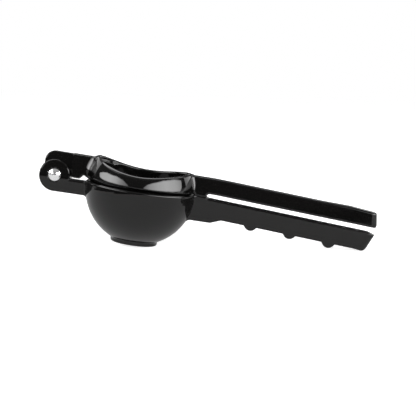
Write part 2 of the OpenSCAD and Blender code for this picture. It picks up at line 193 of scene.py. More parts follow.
def ball_of_five(x, y, z):
    """Distance to a ball of 5 mm radius, to try the helpers on."""
    return np.sqrt(x * x + y * y + z * z) - 5


landed = pull(ball_of_five, np.array([[3.0, 3.0, 2.8]]))
print(f"a point near a 5 mm ball lands {float(ball_of_five(*landed.T)[0]):.5f} mm from it")

# %% [markdown]
# ## Laying a mesh on a surface
# The space is cut into small cells. Each cell that the surface passes through gets one vertex, in the
# middle of the points where its edges cross the surface. This gives four-sided faces of an even size,
# where the better known marching cubes would give slivers.

# %% Vertices from cells
CORNERS = [(i, j, k) for i in (0, 1) for j in (0, 1) for k in (0, 1)]


def crossing_points(d, cells):
    """The middle of the points where the edges of each cell cross the surface, counted in cells."""
    total, crossings = np.zeros((len(cells), 3)), np.zeros(len(cells))
    for a in CORNERS:
        for axis in range(3):
            if a[axis]:
                continue
            b = tuple(1 if n == axis else c for n, c in enumerate(a))
            da = d[tuple((cells + a).T)]
            db = d[tuple((cells + b).T)]
            crossed = (da < 0) != (db < 0)
            share = np.where(crossed, da / np.where(crossed, da - db, 1), 0)
            spot = np.tile(np.array(a, float), (len(cells), 1))
            spot[:, axis] = share
            total += spot * crossed[:, None]
            crossings += crossed
    return cells + total / crossings[:, None]


one_cell = np.ones((2, 2, 2))
one_cell[0, 0, 0] = -1
one_vertex = crossing_points(one_cell, np.zeros((1, 3), int))[0]
print("a cell with one corner in the metal gets its vertex at", np.round(one_vertex, 3))

# %% [markdown]
# ## Faces between the vertices
# Wherever two neighbours in the grid lie on different sides of the surface, the four cells about the
# edge between them share a face. The order of its corners tells which way is out, and as each crossed
# edge gets its face, the mesh has no gaps. The grid is filled slab by slab, to spare memory.

# %% Faces and the whole mesh
SLABS = 12


def faces_round_edges(inside, number):
    """A face between the four cells round each crossed edge, facing out of the metal."""
    faces = []
    for axis in range(3):
        u, v = [(1, 2), (2, 0), (0, 1)][axis]
        here = [slice(1, -1)] * 3
        here[axis] = slice(0, -1)
        there = list(here)
        there[axis] = slice(1, None)
        a, b = inside[tuple(here)], inside[tuple(there)]
        edge = np.argwhere(a != b)
        leaves = a[tuple(edge.T)]
        at = edge + 1
        at[:, axis] -= 1
        ring = []
        for du, dv in ((-1, -1), (0, -1), (0, 0), (-1, 0)):
            c = at.copy()
            c[:, u] += du
            c[:, v] += dv
            ring.append(number[tuple(c.T)])
        quad = np.stack(ring, 1)
        faces.append(np.where(leaves[:, None], quad, quad[:, ::-1]))
    return np.concatenate(faces)


def lay_mesh(solid, low, high):
    """Vertices in millimetres and four-sided faces of the surface inside a box."""
    axes = [np.arange(a, b + CELL, CELL) for a, b in zip(low, high)]
    slabs = []
    for part in np.array_split(axes[0], SLABS):
        slabs.append(solid(part[:, None, None], axes[1][None, :, None], axes[2][None, None, :]))
    d = np.concatenate(slabs).astype(np.float32)
    inside = d < 0
    shape = tuple(n - 1 for n in d.shape)
    count = sum(inside[tuple(slice(s, s + n) for s, n in zip(corner, shape))].astype(np.int8)
                for corner in CORNERS)
    cells = np.argwhere((count > 0) & (count < len(CORNERS)))
    number = np.full(shape, -1)
    number[tuple(cells.T)] = np.arange(len(cells))
    p = crossing_points(d, cells) * CELL + np.array([axis[0] for axis in axes])
    return p, faces_round_edges(inside, number)


test_p, test_faces = lay_mesh(ball_of_five, (-6, -6, -6), (6, 6, 6))
print(f"a 5 mm ball: {len(test_p)} vertices and {len(test_faces)} faces")

# %% [markdown]
# ## From a surface to a Blender object
# The fresh vertices are unevenly spaced, so each is drawn towards the middle of its neighbours and
# pulled back onto the surface, twice over. The slope then gives every vertex its exact normal. Stored
# as custom normals, these keep reflections calm, where normals averaged from faces would shimmer.

# %% Even out, turn and link
NORMAL_STEP = 0.08


def relaxed(solid, p, faces, rounds=2):
    """Evens out the spacing of the vertices and keeps them on the surface."""
    pairs = np.concatenate([faces[:, [i, (i + 1) % 4]] for i in range(4)])
    reach = np.bincount(pairs[:, 0], minlength=len(p)) + np.bincount(pairs[:, 1], minlength=len(p))
    p = pull(solid, p)
    for _ in range(rounds):
        mean = np.zeros_like(p)
        for axis in range(3):
            mean[:, axis] = (np.bincount(pairs[:, 0], p[pairs[:, 1], axis], len(p))
                             + np.bincount(pairs[:, 1], p[pairs[:, 0], axis], len(p)))
        p = pull(solid, p + 0.5 * (mean / reach[:, None] - p))
    return pull(solid, p)


def link_piece(name, mesh):
    """A new object with this mesh, in the scene."""
    piece = bpy.data.objects.new(name, mesh)
    bpy.context.scene.collection.objects.link(piece)
    return piece


def cast_piece(name, solid, low, high, tilt=0.0):
    """A casting as a Blender object: laid on its surface, turned by tilt and by the lean, in metres."""
    p, faces = lay_mesh(solid, low, high)
    p = relaxed(solid, p, faces)
    n = slope(solid, p, NORMAL_STEP)
    n /= np.linalg.norm(n, axis=1)[:, None]
    x, z = about_rivet(p[:, 0], p[:, 2], tilt)
    x, z = turned(x, z, lean)
    nx, nz = turned(n[:, 0], n[:, 2], tilt + lean)
    spots = (np.stack([x, p[:, 1], z], 1) + bowl_place) * MM
    mesh = bpy.data.meshes.new(name)
    mesh.from_pydata(spots.tolist(), [], faces.tolist())
    mesh.shade_smooth()
    mesh.normals_split_custom_set_from_vertices(np.stack([nx, n[:, 1], nz], 1).tolist())
    off = np.abs(solid(*p.T)).max()
    print(f"{name}: {len(p)} vertices, {len(faces)} faces, at most {off:.4f} mm off the surface")
    return link_piece(name, mesh)


test_p = relaxed(ball_of_five, test_p, test_faces)
print(f"the same ball after relaxing: at most {np.abs(ball_of_five(*test_p.T)).max():.5f} mm off")

# %% [markdown]
# ## The strainer bowl
# On the real press this is half a ball, 2.4 mm thick, with a rim rolled to a full round. A flat floor
# carries 19 juice holes, and a foot ring stands below it. A ball that is cut open has a simple exact
# distance, so the rim comes out as a true half circle in section.

# %% Sizes of the bowl
bowl_wall = 2.4
mid_r = bowl_r - bowl_wall / 2
rim_z = 2.0 - bowl_wall / 2
floor_r, floor_t = 10.6, 2.2
floor_top = -math.sqrt((bowl_r - bowl_wall) ** 2 - floor_r ** 2)
foot_r, foot_w, foot_h, foot_deep = 14.8, 2.5, 2.53, 3.8
foot_z = -(math.sqrt(bowl_r ** 2 - foot_r ** 2) + foot_h)
hole_d, hole_pitch = 2.8, 4.3
hole_rings = ((1, 6), (2, 12))
print(f"the foot ring reaches {-foot_z:.2f} mm below the centre of the bowl")

# %% [markdown]
# ## The bowl as a solid
# The floor is a round plate that is joined to the ball on a fillet, and the foot ring stands in a
# narrow fillet of its own. What is inside the ring is cut clear, and the holes go through last, so that
# each gets the same small round at its edge, as the enamel leaves it.

# %% The bowl, its floor and its foot
def rolled_bowl(rho, z):
    """Half a hollow ball, closed by a rolled rim at rim_z."""
    rim_rho = math.sqrt(mid_r ** 2 - rim_z ** 2)
    above = rim_z * rho < rim_rho * z
    shell = np.abs(np.hypot(rho, z) - mid_r)
    return np.where(above, np.hypot(rho - rim_rho, z - rim_z), shell) - bowl_wall / 2


def juice_holes(x, y):
    """One hole in the middle and two rings about it."""
    nearest = np.hypot(x, y)
    for ring, count in hole_rings:
        for i in range(count):
            a = 2 * math.pi * i / count
            r = ring * hole_pitch
            nearest = np.minimum(nearest, np.hypot(x - r * math.cos(a), y - r * math.sin(a)))
    return nearest - hole_d / 2


def strainer_bowl(x, y, z):
    """The bowl with its floor, its foot ring and the holes."""
    rho = np.hypot(x, y)
    plate = both(np.abs(z - floor_top + floor_t / 2) - floor_t / 2, rho - floor_r - 2, 0.2)
    bowl = join(rolled_bowl(rho, z), plate, 1.2)
    ring_wall = np.abs(rho - foot_r + foot_w / 2) - foot_w / 2
    ring = both(ring_wall, np.abs(z - foot_z - foot_deep / 2) - foot_deep / 2, 0.9)
    bowl = join(bowl, ring, 0.7)
    below = np.maximum(rho - foot_r + foot_w, z - floor_top + floor_t)
    bowl = without(bowl, below, 0.4)
    return without(bowl, np.maximum(juice_holes(x, y), np.abs(z - floor_top) - 4), 0.35)


print("juice holes:", 1 + sum(count for _, count in hole_rings))

# %% [markdown]
# ## The fork and its lugs
# The short arm beside the bowl ends in two round lugs with a slot between them for the tongue of the
# upper casting. Both halves of the mould meet at the arm's upper edge, so the lugs taper from there up
# and down. That parting line matters for the look: above it the gloss mirrors the dark room, and below
# it the white ground. A small flat face is milled round the hole, so that the rivet head sits square.

# %% The fork
bar_w = 11.0
draft = math.radians(3)
parting_crown = 1.2
lug_r = 9.7
arm_top, arm_base, arm_end = 0.3, -8.35, -20.0
tongue_w, heel_r = 5.0, 7.8
slot_w = tongue_w + 0.4
slot_end = hinge_x + heel_r + 0.8
shoulder_r = hinge_z - arm_base + 0.6
rivet_d, head_d, head_h = 5.0, 7.9, 1.6
spot_r = head_d / 2 + 0.45
spot_y = bar_w / 2 - (spot_r + hinge_z - arm_top) * math.tan(draft)


def parted_side(y, z):
    """Distance out of a wall drafted both ways from its parting line, with a soft crown there."""
    crown = np.hypot(z - arm_top, parting_crown) - parting_crown
    return (np.abs(y) - bar_w / 2 + crown * math.tan(draft)) * math.cos(draft)


def fork(x, y, z):
    """Two lugs on a short arm, with the slot, the spot faces and the rivet's place."""
    to_rivet = np.hypot(x - hinge_x, z - hinge_z)
    lugs = np.minimum(to_rivet, np.hypot(x - hinge_x, z - arm_base - lug_r)) - lug_r
    bar = np.maximum(np.maximum(z - arm_top, arm_base - z), np.maximum(hinge_x - x, x - arm_end))
    arm = both(np.minimum(lugs, bar), parted_side(y, z), 0.9)
    arm = without(arm, np.maximum(to_rivet - spot_r, spot_y - np.abs(y)), 0.15)
    slot = np.maximum(np.abs(y) - slot_w / 2, x - slot_end)
    return np.maximum(without(arm, slot, 0.4), rivet_d / 2 - to_rivet)


print(f"lugs {2 * lug_r:.1f} mm across, rivet heads seated {spot_y:.2f} mm from the middle")

# %% [markdown]
# ## The lower handle in side view
# A deep root block steps up into a long grip with three finger bumps and a turned-down nose. It is an
# open channel, as such handles are cast. All of it follows one sloping top line, so every corner is
# given by its distance along that line and its depth below it. A stop as wide as the handle stands at
# the root, and meets the like of it on the upper casting halfway between the two handles.

# %% Outlines of the lower handle
tip_x = bowl_r + 114.2
low_tip_x = tip_x + 1.1
lower_top, lower_depth, lower_slope = 1.6, 11.9, math.tan(math.radians(3.5))
root_l, root_depth = 12.5, 15.5
channel_wall, channel_start = 2.5, 12.5
bump_r, bump_pitch, bump_start = 4.2, 24.9, 36.8
bump_h = (2.55, 2.55, 3.0)
wall_r = bowl_r - 0.2
stop_end, stop_z, stop_gap = wall_r + 7.1, 3.3, 0.05


def lower_z(x):
    """Height of the handle's top line."""
    return lower_top - (x - bowl_r) * lower_slope


low_tip = np.array((low_tip_x, lower_z(low_tip_x)))
nose_low = low_tip + (-5.2, 5.2 * lower_slope - lower_depth - 0.6)
nose_heel = low_tip + (-13.1, 13.1 * lower_slope - lower_depth)
tip_edge = low_tip + (nose_low - low_tip) * 0.85 / (low_tip[1] - nose_low[1])
step_x = bowl_r + root_l + 5.5
lower_outline = rounded([
    (bowl_r / 2, lower_top - root_depth, 0), (bowl_r + root_l - 1, lower_top - root_depth, 2.5),
    (step_x, lower_z(step_x) - lower_depth, 2.5), (*nose_heel, 4), (*nose_low, 4), (*tip_edge, 0.4),
    (low_tip_x - 5, lower_z(low_tip_x - 5), 6), (bowl_r / 2, lower_z(bowl_r / 2), 0)])
channel_x = (bowl_r + channel_start, low_tip_x - channel_wall - 1, nose_low[0] - channel_wall)
lower_channel_outline = rounded([
    (channel_x[0], lower_z(channel_x[0]) + 1, 0),
    (channel_x[0] + 2, lower_z(channel_x[0]) - lower_depth + channel_wall, 2),
    (channel_x[2], lower_z(channel_x[2]) - lower_depth + channel_wall, 3),
    (channel_x[1], lower_z(channel_x[1]) + 1, 0)])
print(f"the lower handle reaches {low_tip_x:.1f} mm from the centre of the bowl")

# %% [markdown]
# ## The lower handle as a solid
# The side view is given its width by two drafted sides, 3 degrees each, so that it leaves its mould.
# The stop and the bumps are joined to the side view first. Joined as solids, two faces that lie flush
# would swell where the fillet between them passes. The bumps stand out a little from the sides too.

# %% The lower handle
end_round, end_edge, trough_edge = 4.2, 0.8, 0.5
stop_fillet = 2.0
bump_rise, bump_fillet = 1.7, 0.45
bump_proud, bump_ramp = 0.35, 1.5
proud_from, proud_over = 4.5, 5.0


def stop_block(x, z, x0, z0, z1):
    """The side view of a stop: a block with small rounds."""
    return both(np.abs(x - (x0 + stop_end) / 2) - (stop_end - x0) / 2,
                np.abs(z - (z0 + z1) / 2) - (z1 - z0) / 2, 0.6)


def nose_face(x, z):
    """Distance in front of the raked end of the lower handle."""
    run, drop = low_tip - nose_low
    return ((x - nose_low[0]) * drop - (z - nose_low[1]) * run) / math.hypot(run, drop)


def lower_handle(x, y, z):
    """The whole handle, hollowed from above."""
    depth = lower_z(x) - z
    low_stop = stop_block(*about_rivet(x, z, -close_tilt), bowl_r / 2, -3, stop_z - stop_gap)
    view = join(to_outline(lower_outline, x, z), low_stop, stop_fillet)
    ridge = 0.0
    for i, height in enumerate(bump_h):
        bump_x = bowl_r + bump_start + i * bump_pitch
        low = lower_z(bump_x) - lower_depth - height + bump_r
        bump = np.hypot(x - bump_x, np.maximum(np.abs(z - low - bump_rise) - bump_rise, 0)) - bump_r
        view = join(view, bump, bump_fillet)
        ramp = np.clip((0.2 - bump) / bump_ramp, 0, 1)
        ridge = ridge + bump_proud * ramp * np.clip((depth - proud_from) / proud_over, 0, 1)
    sides = (np.abs(y) - bar_w / 2 + np.maximum(depth, 0) * math.tan(draft) - ridge) * math.cos(draft)
    bar = both(view, sides, 1.1)
    bar = both(both(nose_face(x, z), sides, end_round), bar, end_edge)
    walls = (np.abs(y) - bar_w / 2 + channel_wall + depth * math.tan(draft)) * math.cos(draft)
    return without(bar, np.maximum(to_outline(lower_channel_outline, x, z), walls), trough_edge)


print("bumps", [round(bump_start + i * bump_pitch, 1) for i in range(len(bump_h))], "mm past the rim")

# %% [markdown]
# ## The lower casting in one piece
# Bowl, fork and handle are joined on their fillets. The bars end at the middle of the bowl's wall, and
# the fillet shrinks to nothing on its inner side, so that the inside of the bowl stays a clean ball.

# %% Join the lower casting
def lower_casting(x, y, z):
    """Distance to the finished lower casting."""
    ball = np.sqrt(x * x + y * y + z * z)
    bars = np.maximum(np.minimum(fork(x, y, z), lower_handle(x, y, z)), mid_r - ball)
    outside = np.clip((ball - mid_r) / (bowl_wall / 2), 0.02, 1)
    return join(bars, strainer_bowl(x, y, z), np.where(x < 0, 1.8, 2.0) * outside)


LOW = (hinge_x - lug_r - 1, -bowl_r - 1, foot_z - 1)
HIGH = (low_tip_x + 1, bowl_r + 1, hinge_z + lug_r + 1)
lower_piece = cast_piece("strainer_casting", lower_casting, LOW, HIGH)
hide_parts("strainer_cup")
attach(lower_piece, "bowl")

# %% [markdown]
# ## The press dome and its saddle rim
# The upper casting is a hollow dome that fits the bowl with room for the peel, and a standing wall that
# closes over the bowl's rim. The wall's top follows a cylinder laid across it, so it dips in the middle
# and rises to the arm and to the handle like a saddle, until a flat beside the handle keeps it low.
# The wall is thin there, and rounding both of its edges rolls the rim.

# %% The dome and the standing wall
dome_rise, dome_r, dome_wall = 8.0, 31.3, 2.8
wall_base, rim_wall, least_wall = 4.55, 2.8, 1.7
saddle_z, saddle_r = 11.7, 65.0
rim_peak, peak_x, peak_round = 16.7, 12.0, 5.0
cavity_r = dome_r - dome_wall
mouth_depth, mouth_flare = 2.6, math.tan(math.radians(30))
mouth_full, mouth_fade = -22.0, 6.0


def dome_and_wall(x, y, z):
    """The outside of the press cup, as if it were solid."""
    rho = np.hypot(x, y)
    wall = both(np.hypot(rho, z) - wall_r, wall_base - z, 0.7)
    dome = np.maximum(np.hypot(rho, z - dome_rise) - dome_r, z - dome_rise - 2)
    return join(wall, dome, 0.6)


def saddle_cut(x, z):
    """Distance to what is cut off above the rim: a cylinder, and a flat beside the handle."""
    cylinder = np.hypot(x, z - saddle_z - saddle_r) - saddle_r
    return join(cylinder, np.maximum(rim_peak - z, peak_x - x), peak_round)


def cavity(x, y, z):
    """The hollow of the cup: a ball below, straight walls above, and a flare towards the arm."""
    rho = np.hypot(x, y)
    cup = np.hypot(rho, np.minimum(z - dome_rise, 0)) - cavity_r
    hollow = both(cup, np.hypot(rho, z) - wall_r + rim_wall, 2.5)
    flare = (mouth_depth - saddle_cut(x, z)) * mouth_flare
    flare = flare - 2 * np.clip((x - mouth_full) / mouth_fade, 0, 1)
    flare = (rho - cavity_r - flare) / math.hypot(1, mouth_flare)
    flare = np.maximum(flare, np.hypot(rho, z) - wall_r + least_wall)
    return join(hollow, np.maximum(flare, saddle_cut(x, z) - mouth_depth), 0.5)


print(f"room between the dome and the bowl's floor: {dome_rise - dome_r - floor_top:.2f} mm")

# %% [markdown]
# ## The upper arm and its tongue
# The arm leaves the wall at full width, and two shoulders are cut round the lugs, concentric with the
# rivet, so that it can turn. Between them runs the tongue, with a heel about the rivet. It is even in
# thickness between the lugs and drafted above them, as the arm is.

# %% The arm and the tongue
tongue_top, tongue_base, relief_h = 16.8, 2.0, 2.7
tongue_corner = 6.3
rivet_play = 0.05
upper_arm_outline = rounded([
    (hinge_x + lug_r - 0.1, tongue_top, 0), (-bowl_r / 2, tongue_top, 0), (-bowl_r / 2, tongue_base, 0),
    (-dome_r, tongue_base, 0), (-bowl_r - 1.9, tongue_base + relief_h, 0.8),
    (-bowl_r - 3.9, tongue_base, 0.8), (hinge_x + lug_r - 0.1, tongue_base, 0)])
tongue_outline = rounded([
    (hinge_x - heel_r, hinge_z, 0), (hinge_x, hinge_z, 0), (hinge_x, tongue_base, 0),
    (hinge_x + shoulder_r + 1, tongue_base, 0), (hinge_x + shoulder_r + 1, tongue_top, 0),
    (hinge_x - heel_r, tongue_top, tongue_corner)])


def upper_arm(x, y, z):
    """The arm with its shoulders, and the tongue between the lugs."""
    sides = (np.abs(y) - bar_w / 2 + z * math.tan(draft)) * math.cos(draft)
    arm = both(to_outline(upper_arm_outline, x, z), sides, 0.7)
    to_rivet = np.hypot(x - hinge_x, z - hinge_z)
    arm = without(arm, to_rivet - shoulder_r, 0.5)
    tongue = np.minimum(to_outline(tongue_outline, x, z), to_rivet - heel_r)
    taper = np.maximum(z - hinge_z, 0) * math.tan(draft)
    tongue = both(tongue, np.abs(y) - tongue_w / 2 + taper, 0.7)
    return np.maximum(join(arm, tongue, 0.3), rivet_d / 2 + rivet_play - to_rivet)


print(f"shoulders at {shoulder_r:.2f} mm from the rivet clear the lugs by {shoulder_r - lug_r:.2f} mm")

# %% [markdown]
# ## The upper handle
# A long bar with its channel underneath, so that the hand meets only rounded metal. It gets slimmer
# towards its end and swells slightly before the tip, where the thumb rests. Its stop stands under the
# root. The edges are a little rounder near the tip, where the enamel is rubbed most.

# %% The upper handle
upper_base = 5.7
upper_top, upper_fall, upper_base_fall = 15.4, 4.6, 4.2
end_rake = math.tan(math.radians(9))
swell, swell_peak, swell_start = 0.75, 16.0, 34.0
top_edge, top_edge_tip, base_edge = 0.9, 1.3, 1.2
root_x = bowl_r + root_l
top_slope = upper_fall / (tip_x - root_x)


def upper_line(x, share):
    """A corner of the top line, raised by a share of the swelling near the tip."""
    return x, upper_top - (x - root_x) * top_slope + share * swell


upper_tip = upper_line(tip_x, 0)
under_tip_x = tip_x + (upper_tip[1] - upper_base + upper_base_fall) * end_rake
under_tip = (under_tip_x, upper_base - upper_base_fall)
upper_outline = rounded([
    (bowl_r / 2, upper_base, 0), (root_x, upper_base, 0), (*under_tip, 1.8), (*upper_tip, 1.2),
    (*upper_line(tip_x - swell_peak, 1), 40), (*upper_line(tip_x - swell_start, 0.35), 60),
    (root_x, upper_top, 0), (bowl_r / 2, upper_top, 0)])
trough_x = (bowl_r + channel_start, tip_x - 1.6 * channel_wall)
upper_channel_outline = rounded([
    (trough_x[0], 4, 0), (trough_x[0] + 2, upper_top - channel_wall, 2),
    (trough_x[1] - 2, upper_top - upper_fall + 0.1 - channel_wall, 2), (trough_x[1], -1, 0)])


def upper_handle(x, y, z):
    """The whole handle, hollowed from below."""
    past_root = np.maximum(x - root_x, 0)
    depth = upper_top - past_root * top_slope - z
    lift = upper_top - upper_base + 1 - depth
    sides = (np.abs(y) - bar_w / 2 + lift * math.tan(draft)) * math.cos(draft)
    edge = np.interp(x, (root_x + 40, tip_x - 10), (top_edge, top_edge_tip))
    stop = stop_block(x, z, wall_r - 0.5, stop_z, upper_base + 2)
    view = join(to_outline(upper_outline, x, z), stop, stop_fillet)
    bar = both(view, sides, np.where(depth < 5, edge, base_edge))
    end = ((x - upper_tip[0]) - (upper_tip[1] - z) * end_rake) / math.hypot(1, end_rake)
    bar = both(both(end, sides, end_round), bar, end_edge)
    trough = np.maximum(to_outline(upper_channel_outline, x, z), sides + channel_wall)
    return without(bar, trough, trough_edge)


print(f"the upper handle falls {upper_fall} mm over {tip_x - root_x:.1f} mm")

# %% [markdown]
# ## The upper casting in one piece
# Arm and handle run solid into the ball of the press cup. Only then is the hollow cut, and last the
# saddle, so that the rolled rim also runs on over the roots of the arm and of the handle. The piece is
# turned by the small angle at which the press stands when it is closed.

# %% Join the upper casting
def upper_casting(x, y, z):
    """Distance to the finished upper casting."""
    bars = np.minimum(upper_arm(x, y, z), upper_handle(x, y, z))
    fillet = np.where(x < 0, np.interp(z, (5, 8.5), (0.8, 3.2)), 1.8)
    solid = join(bars, dome_and_wall(x, y, z), fillet)
    hollow = without(solid, cavity(x, y, z), 0.5)
    return without(hollow, saddle_cut(x, z), 1.25)


LOW = (hinge_x - heel_r - 1, -bowl_r - 1, dome_rise - dome_r - 1)
HIGH = (under_tip[0] + 1, bowl_r + 1, tongue_top + 2.5)
upper_piece = cast_piece("press_casting", upper_casting, LOW, HIGH, close_tilt)
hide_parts("press_cup")
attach(upper_piece, "press")

# %% [markdown]
# ## The rivet
# A plated steel rivet with a low dome at both ends, turned and then polished. A lathe profile spun
# about its axis is the natural way to make it, as the real one is round to begin with. A spun curve or
# a Screw modifier would do too, but bmesh needs no modifier to be applied afterwards.

# %% A lathe
RIVET_STEPS = 64


def spin_profile(name, profile, steps, axis_place):
    """Spins a profile of (radius, along) points about the Y axis; a radius of 0 closes an end."""
    tool = bmesh.new()
    rings = []
    for r, along in profile:
        if r == 0:
            rings.append([tool.verts.new((0, along, 0))])
            continue
        ring = []
        for i in range(steps):
            a = 2 * math.pi * i / steps
            ring.append(tool.verts.new((r * math.cos(a), along, r * math.sin(a))))
        rings.append(ring)
    for lower, upper in zip(rings, rings[1:]):
        for i in range(steps):
            j = (i + 1) % steps
            corners = [lower[i % len(lower)], lower[j % len(lower)],
                       upper[j % len(upper)], upper[i % len(upper)]]
            tool.faces.new(list(dict.fromkeys(corners)))
    bmesh.ops.recalc_face_normals(tool, faces=tool.faces)
    mesh = bpy.data.meshes.new(name)
    bmesh.ops.scale(tool, vec=(MM, MM, MM), verts=tool.verts)
    bmesh.ops.translate(tool, vec=axis_place, verts=tool.verts)
    tool.to_mesh(mesh)
    tool.free()
    mesh.shade_smooth()
    return link_piece(name, mesh)


def head_profile(steps=14):
    """From the top of a head to the shank: a low dome with a small rounded edge."""
    ball = (head_d ** 2 / 4 + head_h ** 2) / (2 * head_h)
    reach = math.asin(head_d / 2 / ball)
    dome = [(ball * math.sin(reach * k / steps), head_h - ball + ball * math.cos(reach * k / steps))
            for k in range(steps)]
    return dome + [(head_d / 2, 0.12), (head_d / 2 - 0.05, 0.02), (head_d / 2 - 0.2, 0.0)]


print("points in the section of a head:", len(head_profile()))

# %% [markdown]
# ## The rivet in its place
# Both heads sit on the flats of the lugs, and the shank fills the holes. The rivet is held fast in the
# lugs, so it rides on the lower casting, and only the upper one turns about it.

# %% Spin the rivet
half = [(r, -(spot_y + h)) for r, h in head_profile()] + [(rivet_d / 2, -spot_y)]
profile = half + [(r, -along) for r, along in reversed(half)]
profile[0], profile[-1] = (0, profile[0][1]), (0, profile[-1][1])
rivet = spin_profile("rivet_polished", profile, RIVET_STEPS, Vector(rivet_place * MM))
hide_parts("hinge_rivet")
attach(rivet, "bowl")
print("rivet:", len(rivet.data.vertices), "vertices")

# %% [markdown]
# ## Gloss black enamel
# The enamel is a hard stoved coat on aluminium. It is nearly black, so all that one sees of it is
# what it mirrors. A dark base with a clear dielectric shine gives that; a metal or a separate clear
# coat would be brighter than the real one. A slow noise varies the colour and the gloss, as the coat
# ran a little thicker here and there and the hand has dulled it, and a fine one is its orange peel.

# %% The enamel
ENAMEL_IOR = 1.45
ENAMEL_DARK, ENAMEL_PALE = (0.002, 0.0019, 0.0018, 1), (0.0032, 0.003, 0.0029, 1)
ENAMEL_GLOSS = (0.04, 0.065)


def node(tree, kind, **values):
    """A new node, with its inputs or its own settings filled in by name."""
    made = tree.nodes.new(kind)
    for name, value in values.items():
        if name in made.inputs.keys():
            made.inputs[name].default_value = value
        else:
            setattr(made, name, value)
    return made


def enamel(name, seed):
    """Gloss black enamel; each seed gives another coat of the same kind."""
    material = bpy.data.materials.new(name)
    material.use_nodes = True
    tree = material.node_tree
    shader = tree.nodes["Principled BSDF"]
    shader.inputs["IOR"].default_value = ENAMEL_IOR
    place = node(tree, "ShaderNodeTexCoord")
    flow = node(tree, "ShaderNodeTexNoise", Scale=70.0, Detail=3.0, noise_dimensions="4D", W=seed)
    peel = node(tree, "ShaderNodeTexNoise", Scale=420.0, Detail=1.0, noise_dimensions="4D", W=seed + 5)
    tone = node(tree, "ShaderNodeValToRGB")
    tone.color_ramp.elements[0].color = ENAMEL_DARK
    tone.color_ramp.elements[1].color = ENAMEL_PALE
    gloss = node(tree, "ShaderNodeMapRange")
    gloss.inputs["From Min"].default_value, gloss.inputs["From Max"].default_value = 0.3, 0.7
    gloss.inputs["To Min"].default_value, gloss.inputs["To Max"].default_value = ENAMEL_GLOSS
    bump = node(tree, "ShaderNodeBump", Strength=0.25, Distance=0.00002)
    links = tree.links.new
    for texture in (flow, peel):
        links(place.outputs["Object"], texture.inputs["Vector"])
    links(flow.outputs["Fac"], tone.inputs["Fac"])
    links(flow.outputs["Fac"], gloss.inputs["Value"])
    links(tone.outputs["Color"], shader.inputs["Base Color"])
    links(gloss.outputs["Result"], shader.inputs["Roughness"])
    links(peel.outputs["Fac"], bump.inputs["Height"])
    links(bump.outputs["Normal"], shader.inputs["Normal"])
    print(f"{name}: {len(tree.nodes)} nodes")
    return material


lower_piece.data.materials.append(enamel("enamel_lower", 1.0))
upper_piece.data.materials.append(enamel("enamel_upper", 9.0))

# %% [markdown]
# ## Bright plating
# The rivet is plated and polished. It is a plain metal shader, with fine lines from the polishing wheel
# that one sees only as a soft edge to its highlights, and a slight cloudiness from handling. The lines
# are wide rings about the scene's own Y axis, so they cross the small heads almost straight.

# %% The rivet's plating
PLATING_DULL, PLATING_BRIGHT = (0.84, 0.84, 0.85, 1), (0.92, 0.92, 0.92, 1)
PLATING_GLOSS = (0.2, 0.27)


def plating(name):
    """Polished plating with faint lines and a slight cloudiness."""
    material = bpy.data.materials.new(name)
    material.use_nodes = True
    tree = material.node_tree
    shader = tree.nodes["Principled BSDF"]
    shader.inputs["Metallic"].default_value = 1.0
    place = node(tree, "ShaderNodeTexCoord")
    lines = node(tree, "ShaderNodeTexWave", Scale=900.0, Distortion=1.5, wave_type="RINGS",
                 rings_direction="Y")
    tone = node(tree, "ShaderNodeTexNoise", Scale=300.0, Detail=2.0)
    tint = node(tree, "ShaderNodeValToRGB")
    tint.color_ramp.elements[0].color = PLATING_DULL
    tint.color_ramp.elements[1].color = PLATING_BRIGHT
    gloss = node(tree, "ShaderNodeMapRange")
    gloss.inputs["To Min"].default_value, gloss.inputs["To Max"].default_value = PLATING_GLOSS
    bump = node(tree, "ShaderNodeBump", Strength=0.05, Distance=0.00002)
    links = tree.links.new
    for texture in (lines, tone):
        links(place.outputs["Object"], texture.inputs["Vector"])
    links(tone.outputs["Fac"], tint.inputs["Fac"])
    links(tint.outputs["Color"], shader.inputs["Base Color"])
    links(tone.outputs["Fac"], gloss.inputs["Value"])
    links(gloss.outputs["Result"], shader.inputs["Roughness"])
    links(lines.outputs["Fac"], bump.inputs["Height"])
    links(bump.outputs["Normal"], shader.inputs["Normal"])
    print(f"{name}: {len(tree.nodes)} nodes")
    return material


rivet.data.materials.append(plating("bright_plating"))

# %% [markdown]
# ## The white ground
# The squeezer lies on a white sheet with no visible edge. The sheet shows the camera a plain white
# of its own, and only a faint shade is left to the soft light, where the squeezer keeps it off. In the
# gloss of the enamel it glows a good deal less, a painted shade in place of the drapes keeping light off.

# %% The floor
FLOOR_HALF = 40.0
SEEN_WHITE = 0.84
# Painted shade: the sheet's lower glow in reflections stands in for light that the drapes would keep off.
MIRRORED_WHITE_PAINTED_SHADE = 0.25


def background_rays(tree):
    """1 for a ray from the camera, in a reflection or through glass, else 0."""
    path = node(tree, "ShaderNodeLightPath")
    first = node(tree, "ShaderNodeMath", operation="MAXIMUM")
    second = node(tree, "ShaderNodeMath", operation="MAXIMUM")
    tree.links.new(path.outputs["Is Camera Ray"], first.inputs[0])
    tree.links.new(path.outputs["Is Glossy Ray"], first.inputs[1])
    tree.links.new(first.outputs[0], second.inputs[0])
    tree.links.new(path.outputs["Is Transmission Ray"], second.inputs[1])
    return second.outputs[0]


